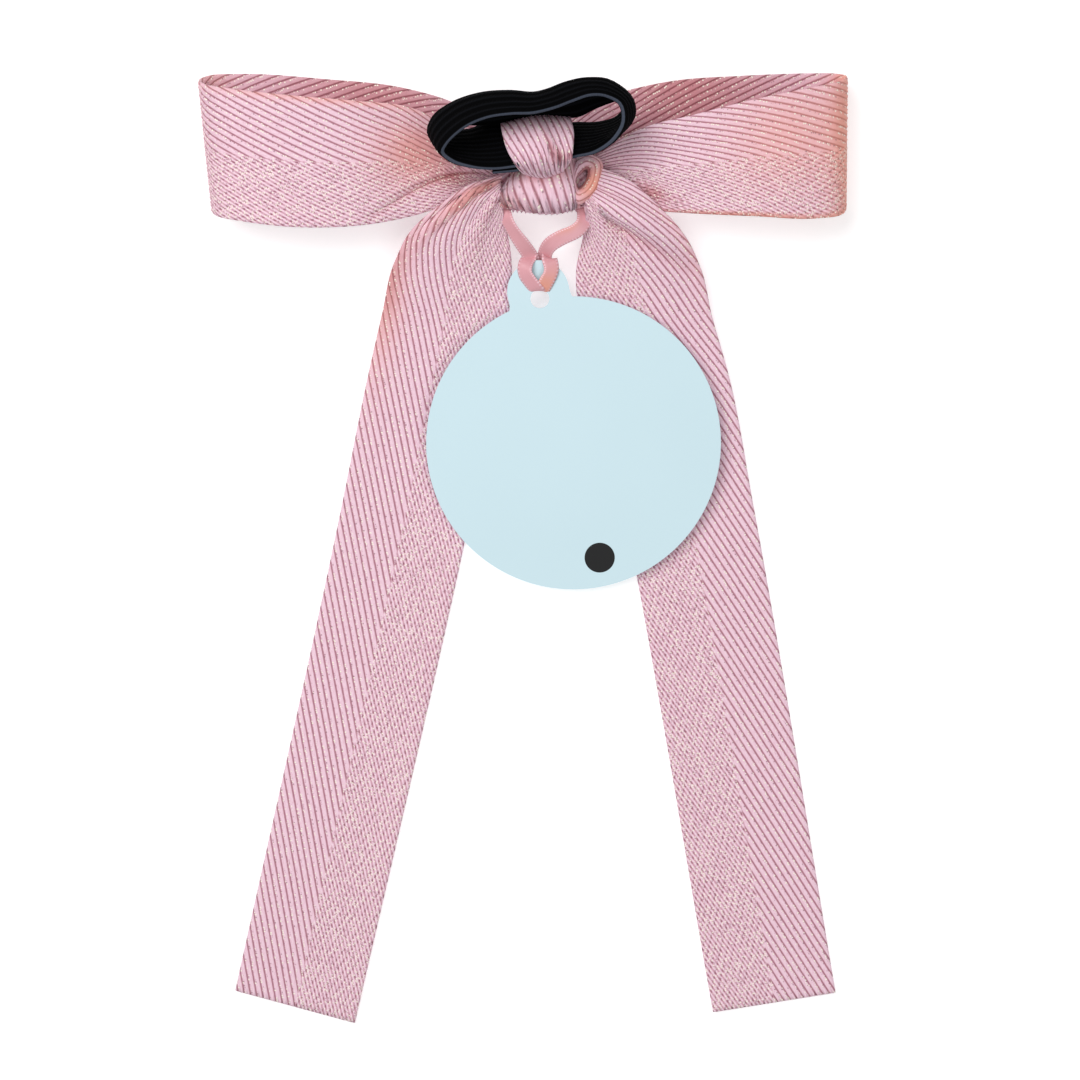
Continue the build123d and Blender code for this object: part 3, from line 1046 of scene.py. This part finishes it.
@dataclass
class Knot:
    """The knot: front wrap, gathered waist inside it, back band and the turn of tape beside it."""

    front: list[Station] = field(
        default_factory=lambda: [
            ((-3.4, 78.6, 4.4), (3.9, 79.0, 4.6), (11.2, 78.6, 4.4)),
            ((-3.8, 80.0, 2.6), (3.9, 80.5, 2.4), (11.6, 80.0, 2.6)),
            ((-3.9, 78.4, 0.9), (3.9, 78.8, 0.6), (11.7, 78.4, 0.9)),
            ((-3.9, 73.5, 0.8), (3.9, 73.5, 0.5), (11.7, 73.5, 0.8)),
            ((-3.9, 68.6, 0.9), (3.9, 68.2, 0.6), (11.7, 68.6, 0.9)),
            ((-3.8, 67.0, 2.6), (3.9, 66.5, 2.4), (11.6, 67.0, 2.6)),
            ((-3.4, 68.2, 4.4), (3.9, 67.8, 4.6), (11.2, 68.2, 4.4)),
        ]
    )
    waist: list[Station] = field(
        default_factory=lambda: [
            ((x, 68.2, 3.9), (x, 75.6, 4.1), (x, 75.4, 5.6), (x, 68.4, 5.7), (x, 68.4, 7.5), (x, 75.6, 7.7))
            for x in (-4.4, -1.0, 3.9, 8.8, 12.2)
        ]
    )
    band: list[Station] = field(
        default_factory=lambda: [
            (
                (-0.4, 73.6, 9.0), (-0.8, 74.2, 10.6), (0.4, 74.8, 12.2), (3.2, 74.8, 12.8),
                (6.4, 75.2, 12.8), (8.6, 76.2, 12.2), (9.6, 76.4, 10.8), (9.4, 76.0, 9.2),
            ),
            (
                (-2.2, 71.6, 9.4), (-2.6, 72.0, 11.2), (-1.2, 72.4, 13.0), (2.4, 72.2, 14.0),
                (6.3, 72.4, 14.0), (8.9, 72.8, 13.2), (9.8, 72.8, 11.4), (9.6, 72.6, 9.3),
            ),
            (
                (-4.0, 69.4, 9.4), (-3.9, 69.6, 11.4), (-1.6, 69.4, 13.1), (2.5, 69.0, 13.8),
                (6.2, 69.0, 13.8), (9.2, 69.4, 12.8), (10.2, 69.6, 11.2), (10.0, 69.6, 9.2),
            ),
            (
                (-3.9, 67.6, 9.2), (-3.6, 67.4, 10.2), (-1.4, 67.0, 11.4), (2.5, 66.1, 11.8),
                (6.2, 65.9, 11.8), (9.1, 66.6, 11.4), (10.1, 67.2, 10.2), (9.9, 67.6, 9.1),
            ),
            (
                (-3.6, 67.2, 8.9), (-3.3, 67.2, 9.1), (-1.2, 67.1, 9.3), (2.6, 66.4, 9.3),
                (6.2, 66.3, 9.3), (9.0, 66.8, 9.3), (9.8, 67.2, 9.2), (9.6, 67.5, 9.0),
            ),
        ]
    )
    # the turn's section, as (share of the way from its hollow to its outer edge, height)
    turn_section: tuple[tuple[float, float], ...] = (
        (0.96, 8.9),
        (0.97, 10.6),
        (0.65, 11.8),
        (0.22, 11.2),
        (0.02, 7.6),
    )
    # the turn seen from above, as (x and y at its hollow, x and y at its outer edge)
    turn: list[tuple[float, float, float, float]] = field(
        default_factory=lambda: [
            (11.2, 73.6, 10.2, 76.2),
            (11.9, 74.4, 12.6, 76.9),
            (12.4, 74.2, 14.8, 75.9),
            (12.3, 73.0, 15.0, 73.4),
            (11.8, 71.9, 14.4, 71.0),
            (11.0, 71.0, 12.8, 69.0),
            (10.5, 71.1, 10.6, 67.9),
            (10.2, 72.0, 9.5, 69.8),
            (10.4, 73.0, 9.6, 73.6),
            (11.2, 73.6, 10.2, 76.2),
        ]
    )

    def side_turn(self) -> list[Station]:
        """Work out the turn of tape beside the knot, from its outer edge over the top into its hollow.

        Returns:
            The turn's stations.
        """
        stations = []
        for hollow_x, hollow_y, outer_x, outer_y in self.turn:
            wide, deep = outer_x - hollow_x, outer_y - hollow_y
            row = [(hollow_x + wide * share, hollow_y + deep * share, z) for share, z in self.turn_section]
            stations.append(tuple(row))
        return stations

    def build(self, tape: bpy.types.Material) -> None:
        """Make the knot's four pieces.

        Args:
            tape: The tape's material.
        """
        front = Band(
            "front_wrap_tape",
            self.front,
            Weave.DIAGONAL,
            width=15.6,
            slant=KNOT_SLANT,
            cut_width=TAPE_WIDTH,
        )
        waist = Band("gathered_waist_tape", self.waist, Weave.CHEVRON_AHEAD, width=TAPE_WIDTH)
        band = Band(
            "back_band_tape",
            self.band,
            Weave.DIAGONAL,
            width=18.0,
            slant=KNOT_SLANT,
            cut_width=TAPE_WIDTH,
            creases=[Crease((-4.0, 0.12), (-1.0, 0.34), 0.9, -0.5)],
            warm_light_patches=[Patch((-1.0, 0.15), (7.0, 0.14), 0.5), Patch((-7.0, 0.75), (4.0, 0.2), 0.5)],
            shade_patches=[Patch((-8.0, 0.85), (5.0, 0.2), 0.7), Patch((0.0, 0.02), (9.0, 0.1), 0.5)],
        )
        turn = Band(
            "side_turn_tape",
            self.side_turn(),
            Weave.LINED,
            width=6.6,
            thick=0.4,
            warm_light_patches=[Patch((0.0, 0.42), (20.0, 0.24), 1.0)],
            shade_patches=[Patch((3.6, 0.4), (1.8, 0.8), 1.0), Patch((-3.0, 0.5), (1.0, 0.3), 0.3)],
        )
        for piece, node in (
            (front, "front_knot"),
            (waist, "waist_core"),
            (band, "knot_back_band"),
            (turn, "knot_side_tuck"),
        ):
            made = place_band(piece, tape, (node,))
            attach(made, "bow")


@dataclass
class HairTie:
    """The elastic loop, lapped at its foot, and the folded strap that holds it to the knot."""

    elastic: list[Station] = field(
        default_factory=lambda: [
            ((-5.4, 73.1, 17.2), (-5.4, 78.1, 13.9), (-6.0, 83.2, 10.6)),
            ((-0.3, 73.6, 17.6), (-0.4, 78.6, 14.2), (-0.7, 81.6, 11.0)),
            ((4.9, 74.9, 17.8), (4.6, 79.2, 14.4), (4.5, 82.2, 11.0)),
            ((9.8, 76.0, 18.2), (9.5, 79.7, 14.6), (9.8, 82.8, 11.0)),
            ((13.9, 77.0, 18.8), (14.3, 80.0, 14.9), (14.6, 82.9, 11.2)),
            ((17.1, 79.3, 19.6), (18.1, 81.3, 15.4), (18.1, 84.0, 11.2)),
            ((18.7, 82.4, 21.0), (20.5, 83.8, 17.0), (19.5, 86.1, 12.4)),
            ((18.2, 85.2, 22.0), (19.9, 86.7, 18.6), (18.3, 87.3, 13.6)),
            ((15.7, 86.6, 22.8), (16.4, 89.2, 20.2), (16.9, 86.6, 14.5)),
            ((12.7, 86.8, 23.2), (12.4, 89.7, 20.2), (13.7, 85.4, 13.5)),
            ((9.3, 85.7, 23.4), (8.5, 89.0, 20.2), (10.3, 83.9, 12.8)),
            ((6.1, 84.5, 23.4), (5.0, 87.7, 20.2), (6.4, 84.0, 12.7)),
            ((2.5, 83.6, 23.4), (2.3, 87.1, 20.0), (2.7, 83.9, 12.7)),
            ((-2.0, 83.4, 23.2), (-2.3, 87.4, 20.0), (-1.9, 83.2, 12.8)),
            ((-6.6, 82.7, 22.8), (-7.7, 87.0, 19.6), (-6.5, 82.5, 12.8)),
            ((-10.7, 80.9, 22.0), (-12.7, 85.4, 18.6), (-10.5, 82.5, 12.6)),
            ((-13.9, 78.1, 20.6), (-16.3, 82.7, 17.4), (-14.4, 82.8, 12.0)),
            ((-14.6, 76.8, 19.4), (-17.0, 80.8, 15.6), (-15.1, 82.0, 11.2)),
            ((-13.1, 75.4, 18.4), (-14.7, 78.6, 14.4), (-13.2, 81.5, 10.6)),
            ((-9.4, 74.2, 18.0), (-10.4, 77.9, 14.2), (-9.5, 81.8, 10.6)),
            ((-5.1, 73.8, 18.4), (-5.2, 78.3, 15.1), (-5.8, 83.2, 11.8)),
            ((-0.4, 74.3, 18.8), (-0.5, 79.0, 15.4), (-1.2, 81.6, 12.0)),
        ]
    )
    strap: list[Station] = field(
        default_factory=lambda: [
            ((-1.0, 74.5, 9.4), (3.9, 74.5, 9.4), (8.6, 74.5, 9.4)),
            ((-2.8, 79.3, 8.9), (3.3, 79.8, 8.9), (9.2, 79.8, 8.9)),
            ((-3.6, 81.8, 9.6), (2.8, 83.1, 9.6), (9.2, 83.0, 9.6)),
            ((-3.9, 82.4, 11.4), (2.7, 84.0, 11.4), (9.2, 83.7, 11.4)),
            ((-3.9, 81.9, 15.0), (2.7, 83.3, 15.5), (9.3, 83.0, 15.2)),
            ((-3.5, 79.9, 17.0), (3.0, 80.7, 17.7), (9.7, 80.6, 17.3)),
            ((-2.6, 77.0, 18.5), (3.4, 77.9, 19.4), (9.6, 77.9, 18.9)),
            ((-1.5, 74.9, 19.2), (3.8, 75.6, 20.0), (9.3, 76.1, 19.4)),
            ((-0.6, 73.8, 18.2), (3.9, 73.8, 19.0), (8.8, 75.0, 18.4)),
            ((0.0, 73.4, 16.0), (4.0, 72.8, 16.2), (8.2, 74.2, 16.0)),
            ((0.6, 73.2, 13.2), (4.1, 72.6, 13.2), (7.8, 73.8, 13.2)),
        ]
    )

    def build(self, black: bpy.types.Material, tape: bpy.types.Material) -> None:
        """Make the elastic and its strap.

        Args:
            black: The elastic's material.
            tape: The tape's material.
        """
        ring = Band("elastic_band", self.elastic, Weave.CORDED, width=ELASTIC_WIDTH, thick=ELASTIC_THICK)
        made = place_band(ring, black, ("hair_tie",))
        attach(made, "hair_tie")
        strap = Band(
            "strap_tape",
            self.strap,
            Weave.DIAGONAL,
            width=13.2,
            slant=KNOT_SLANT,
            creases=[
                Crease((0.8, 0.56), (1.8, 0.70), 1.0, -0.6),
                Crease((1.8, 0.70), (3.0, 0.755), 0.9, -1.0),
                Crease((3.0, 0.755), (5.8, 0.765), 0.9, -1.1),
                Crease((-0.7, 0.6), (1.0, 0.78), 1.3, 0.5),
            ],
            shade_patches=[Patch((3.6, 0.77), (1.6, 0.015), 0.25)],
        )
        made = place_band(strap, tape, ("hair_tie_strap",))
        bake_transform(made)


@dataclass
class SatinLoop:
    """The satin ribbon that ties the tag on: out of the knot, hitched through the card's hole, and back."""

    # each of the route's points goes with the way that the ribbon's edge lies from it
    route: list[tuple[Point, Point]] = field(
        default_factory=lambda: [
            ((-3.6, 67.0, 8.4), (0.9, -0.1, 0.1)),
            ((-3.2, 65.4, 8.9), (0.75, 0.1, 0.55)),
            ((-1.8, 62.9, 8.9), (0.7, 0.2, 0.6)),
            ((0.2, 60.2, 8.2), (0.85, 0.35, 0.25)),
            ((1.9, 57.8, 6.2), (0.9, 0.3, 0.0)),
            ((2.1, 55.4, 5.4), (1.0, 0.0, 0.0)),
            ((2.6, 53.0, 5.5), (1.0, 0.0, 0.0)),
            ((3.2, 51.5, 6.2), (1.0, -0.2, 0.0)),
            ((2.7, 51.8, 7.1), (0.8, 0.4, 0.45)),
            ((1.7, 53.1, 7.4), (0.7, 0.5, 0.5)),
            ((0.4, 54.8, 7.6), (0.85, 0.3, 0.45)),
            ((0.6, 56.8, 7.5), (0.85, -0.4, 0.3)),
            ((1.4, 57.9, 6.2), (0.7, -0.4, 0.6)),
            ((2.4, 57.4, 5.0), (0.0, 0.9, 0.4)),
            ((4.0, 57.4, 5.0), (0.0, 0.9, 0.4)),
            ((4.9, 58.0, 6.2), (-0.7, 0.4, 0.6)),
            ((5.4, 57.2, 7.5), (-0.85, -0.5, 0.1)),
            ((5.7, 55.3, 7.6), (-0.95, -0.15, 0.2)),
            ((4.7, 53.4, 7.5), (-0.8, 0.45, 0.35)),
            ((3.9, 51.9, 7.1), (-0.9, 0.3, 0.3)),
            ((3.6, 51.5, 6.2), (-1.0, 0.2, 0.0)),
            ((4.1, 53.0, 5.2), (-1.0, 0.0, 0.0)),
            ((4.4, 55.4, 4.9), (-1.0, 0.0, 0.0)),
            ((4.2, 57.8, 5.4), (-0.9, 0.4, 0.0)),
            ((4.8, 60.0, 8.2), (-0.6, 0.8, 0.1)),
            ((7.4, 61.6, 9.0), (-0.5, 0.85, 0.1)),
            ((10.6, 62.8, 9.3), (-0.7, 0.65, 0.2)),
            ((12.2, 65.0, 9.1), (-0.9, 0.1, 0.4)),
            ((11.7, 67.2, 8.1), (-0.95, -0.1, 0.2)),
        ]
    )
    stated_length: float = 61.0

    def smooth_line(self, name: str, points: list[Vector]) -> np.ndarray:
        """Read back the smooth line that a NURBS route makes of its points.

        Args:
            name: The route's name.
            points: Its control points, in mm.

        Returns:
            The line's points, in mm.
        """
        curve = bpy.data.curves.new(name, "CURVE")
        curve.dimensions = "3D"
        spline = curve.splines.new("NURBS")
        spline.points.add(len(points) - 1)
        for at, point in zip(spline.points, points):
            at.co = (*point, 1.0)
        spline.order_u = 3
        spline.use_endpoint_u = True
        spline.resolution_u = 6
        route = bpy.data.objects.new(name, curve)
        bpy.context.scene.collection.objects.link(route)
        bpy.context.view_layer.update()
        line = bpy.data.meshes.new_from_object(route)
        read = np.array([vert.co for vert in line.vertices], float)
        bpy.data.meshes.remove(line)
        bpy.data.objects.remove(route)
        bpy.data.curves.remove(curve)
        return read

    def build(self, satin: bpy.types.Material) -> None:
        """Make the satin ribbon and its hidden run through the knot.

        Args:
            satin: The satin's material.
        """
        middles = [Vector(point) for point, _ in self.route]
        edges = [Vector(point) + Vector(side).normalized() for point, side in self.route]
        line = self.smooth_line("satin_route", middles)
        side = self.smooth_line("satin_edge", edges) - line
        side *= SATIN_WIDTH / 2 / np.linalg.norm(side, axis=1, keepdims=True)
        stations = [(tuple(p - s), tuple(p + s)) for p, s in zip(line, side)]
        ribbon = Band(
            "tag_satin_ribbon",
            stations,
            Weave.PLAIN,
            width=SATIN_WIDTH,
            thick=SATIN_THICK,
            warm_light_patches=[Patch((0.0, 0.62), (4.0, 0.05), 0.9), Patch((1.2, 0.9), (0.8, 0.05), 0.6)],
        )
        nodes = ("tag_ribbon_left", "tag_ribbon_right", "tag_ribbon_hitch")
        made = place_band(ribbon, satin, nodes)
        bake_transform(made)
        across_knot = [((x, 67.1, 8.55), (x, 70.1, 8.55)) for x in (-3.4, 0.0, 3.9, 7.8, 11.0)]
        hidden = Band("waist_satin_ribbon", across_knot, Weave.PLAIN, width=SATIN_WIDTH, thick=SATIN_THICK)
        made = place_band(hidden, satin, ("tag_ribbon_waist",))
        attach(made, "bow")


@dataclass
class SwingTag:
    """The tag: a die-cut card disc with a round tab and an eye."""

    disc_sides: int = 256
    tab_sides: int = 96
    corner_steps: int = 6
    rim_steps: int = 2

    def place(self) -> Matrix:
        """Work out the card's place, from its centre, slope and turn.

        Returns:
            The place, in metres.
        """
        slope = Matrix.Rotation(CARD_SLOPE, 4, "X")
        turn = Matrix.Rotation(CARD_TURN, 4, "Z")
        return Matrix.Translation(mm(*CARD_CENTRE)) @ slope @ turn

    def solid(self, radius: float, centre_y: float, thick: float, sides: int) -> bpy.types.Object:
        """Add one round slab of the card.

        Args:
            radius: Its radius in mm.
            centre_y: Its centre's distance from the disc's centre.
            thick: Its thickness in mm.
            sides: How many sides its outline has.

        Returns:
            The new object.
        """
        bpy.ops.mesh.primitive_cylinder_add(
            vertices=sides, radius=radius * MM, depth=thick * MM, location=mm(0, centre_y, 0)
        )
        return bpy.context.object

    def join(self, card: bpy.types.Object, other: bpy.types.Object, operation: str) -> None:
        """Join another slab to the card or cut it out, and remove it.

        Args:
            card: The card.
            other: The other slab.
            operation: UNION or DIFFERENCE.
        """
        cut = card.modifiers.new("cut", "BOOLEAN")
        cut.operation = operation
        cut.object = other
        bpy.context.view_layer.objects.active = card
        bpy.ops.object.modifier_apply(modifier=cut.name)
        bpy.data.objects.remove(other)

    def build(self, face: bpy.types.Material, edge: bpy.types.Material) -> None:
        """Model the card, dress it and hang it on its body.

        Args:
            face: The printed faces' material.
            edge: The cut edge's material.
        """
        bpy.ops.object.select_all(action="DESELECT")
        card = self.solid(CARD_RADIUS, 0.0, CARD_THICK, self.disc_sides)
        card.name = "swing_tag_card"
        card.data.name = card.name
        tab = self.solid(TAB_RADIUS, TAB_CENTRE_Y, CARD_THICK, self.tab_sides)
        self.stretch_tab(tab)
        self.join(card, tab, "UNION")
        punch = self.solid(EYE_RADIUS, EYE_Y, 4 * CARD_THICK, self.tab_sides)
        self.join(card, punch, "DIFFERENCE")
        self.round_corners(card)
        self.finish_edges(card)
        self.assign(card, face, edge)
        card.matrix_world = self.place()
        bpy.ops.object.select_all(action="DESELECT")
        card.select_set(True)
        bpy.context.view_layer.objects.active = card
        bpy.ops.object.transform_apply(location=True, rotation=True, scale=True)
        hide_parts("tag_card")
        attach(card, "tag")
        LOG.info("swing_tag_card: %d faces", len(card.data.polygons))

    def stretch_tab(self, tab: bpy.types.Object) -> None:
        """Draw the lower half of the tab's slab down into the disc, so that its sides run straight.

        Args:
            tab: The tab's slab.
        """
        bpy.ops.object.mode_set(mode="EDIT")
        bpy.ops.mesh.select_mode(type="VERT")
        bpy.ops.mesh.select_all(action="DESELECT")
        shape = bmesh.from_edit_mesh(tab.data)
        for vert in shape.verts:
            vert.select_set(vert.co.y < -0.00001)
        bmesh.update_edit_mesh(tab.data)
        bpy.ops.transform.translate(value=mm(0, -CARD_RADIUS / 3, 0))
        bpy.ops.object.mode_set(mode="OBJECT")

    def round_corners(self, card: bpy.types.Object) -> None:
        """Merge the flat faces, and round the two inner corners where the tab leaves the disc.

        Args:
            card: The card.
        """
        bpy.ops.object.select_all(action="DESELECT")
        card.select_set(True)
        bpy.context.view_layer.objects.active = card
        bpy.ops.object.mode_set(mode="EDIT")
        bpy.ops.mesh.select_all(action="SELECT")
        bpy.ops.mesh.dissolve_limited(angle_limit=math.radians(0.2))
        bpy.ops.mesh.select_mode(type="EDGE")
        bpy.ops.mesh.select_all(action="DESELECT")
        shape = bmesh.from_edit_mesh(card.data)
        corner = mm(TAB_RADIUS, math.sqrt(CARD_RADIUS**2 - TAB_RADIUS**2))
        for side in shape.edges:
            low, high = side.verts[0].co, side.verts[1].co
            upright = (low.xy - high.xy).length < 1e-6
            near_corner = (Vector((abs(low.x), low.y)) - corner).length < 0.3 * MM
            side.select_set(upright and near_corner)
        bmesh.update_edit_mesh(card.data)
        bpy.ops.mesh.bevel(offset=TAB_FILLET * MM, segments=self.corner_steps, affect="EDGES")
        bpy.ops.object.mode_set(mode="OBJECT")

    def finish_edges(self, card: bpy.types.Object) -> None:
        """Ease the sharp rims of the card with a very small bevel.

        Args:
            card: The card.
        """
        ease = card.modifiers.new("ease", "BEVEL")
        ease.width = CARD_EDGE_ROUNDING * MM
        ease.segments = self.rim_steps
        ease.limit_method = "ANGLE"
        ease.angle_limit = math.radians(60)
        bpy.context.view_layer.objects.active = card
        bpy.ops.object.modifier_apply(modifier=ease.name)

    def assign(self, card: bpy.types.Object, face: bpy.types.Material, edge: bpy.types.Material) -> None:
        """Give the flat faces the printed finish, and everything round the edge the bare one.

        Args:
            card: The card.
            face: The printed faces' material.
            edge: The cut edge's material.
        """
        card.data.materials.append(face)
        card.data.materials.append(edge)
        for polygon in card.data.polygons:
            polygon.material_index = 0 if abs(polygon.normal.z) > 0.99 else 1
            polygon.use_smooth = polygon.material_index == 1


@dataclass
class Studio:
    """A pale table, soft light all round and two large lights, and the camera over the bow."""

    camera_place: Point = (3.4155, 42.34, 448.3)
    camera_tilt: float = math.radians(-5.0)
    lens: float = 76.5
    table_size: float = 4000.0
    table_drop: float = 0.3
    table_colour: str = "#e2e2e2"
    table_glow: float = 0.45
    room_light: float = 0.32
    # each light's name, place, side and power in watts
    lamps: tuple[tuple[str, Point, float, float], ...] = (
        ("window", (-240, 260, 560), 420, 2.7),
        ("fill", (150, -150, 580), 420, 1.05),
    )

    def build(self) -> None:
        """Set up the table, the lights and the camera."""
        self.lay_table()
        world = bpy.data.worlds.new("soft_room")
        world.use_nodes = True
        world.node_tree.nodes["Background"].inputs["Color"].default_value = (1, 1, 1, 1)
        world.node_tree.nodes["Background"].inputs["Strength"].default_value = self.room_light
        bpy.context.scene.world = world
        for lamp in self.lamps:
            self.light(*lamp)
        self.set_camera()

    def lay_table(self) -> None:
        """Lay the table under the bow."""
        floor_z = CAD_BOX[0].z - self.table_drop * MM
        bpy.ops.object.select_all(action="DESELECT")
        bpy.ops.mesh.primitive_plane_add(size=self.table_size * MM, location=(0, 0, floor_z))
        table = bpy.context.object
        table.name = "table"
        paint = new_material("white_paper_sweep")
        shader = paint.node_tree.nodes["Principled BSDF"]
        shader.inputs["Base Color"].default_value = linear(self.table_colour)
        shader.inputs["Roughness"].default_value = 0.9
        shader.inputs["Emission Color"].default_value = (1, 1, 1, 1)
        shader.inputs["Emission Strength"].default_value = self.table_glow
        table.data.materials.append(paint)

    def set_camera(self) -> None:
        """Set the camera over the bow."""
        lens = bpy.data.cameras.new("camera")
        lens.lens = self.lens
        lens.sensor_width = 36.0
        lens.clip_start = 0.01
        camera = bpy.data.objects.new("camera", lens)
        camera.location = mm(*self.camera_place)
        camera.rotation_euler = (self.camera_tilt, 0, 0)
        bpy.context.scene.collection.objects.link(camera)
        bpy.context.scene.camera = camera
        bpy.context.scene.view_settings.view_transform = "Standard"

    def light(self, name: str, place: Point, size: float, power: float) -> None:
        """Add a square light that faces the bow.

        Args:
            name: Its name.
            place: Its place in mm.
            size: Its side in mm.
            power: Its power in watts.
        """
        data = bpy.data.lights.new(name, "AREA")
        data.size = size * MM
        data.energy = power
        lamp = bpy.data.objects.new(name, data)
        lamp.location = mm(*place)
        lamp.rotation_euler = (mm(0, 0, 0) - lamp.location).to_track_quat("-Z", "Y").to_euler()
        bpy.context.scene.collection.objects.link(lamp)


def main() -> None:
    """Build the bow's sub-assemblies in order, then the studio."""
    logging.basicConfig(level=logging.INFO, format="%(message)s")
    tape = WovenTape().build()
    satin = SatinWeave().build()
    SatinLoop().build(satin)
    Loops().build(tape)
    Tails().build(tape)
    Knot().build(tape)
    HairTie().build(BraidedElastic().build(), tape)
    tag = SwingTag()
    tag.build(PrintedCard().build(tag.place()), CutPaperEdge().build())
    Studio().build()


if __name__ == "__main__":
    main()
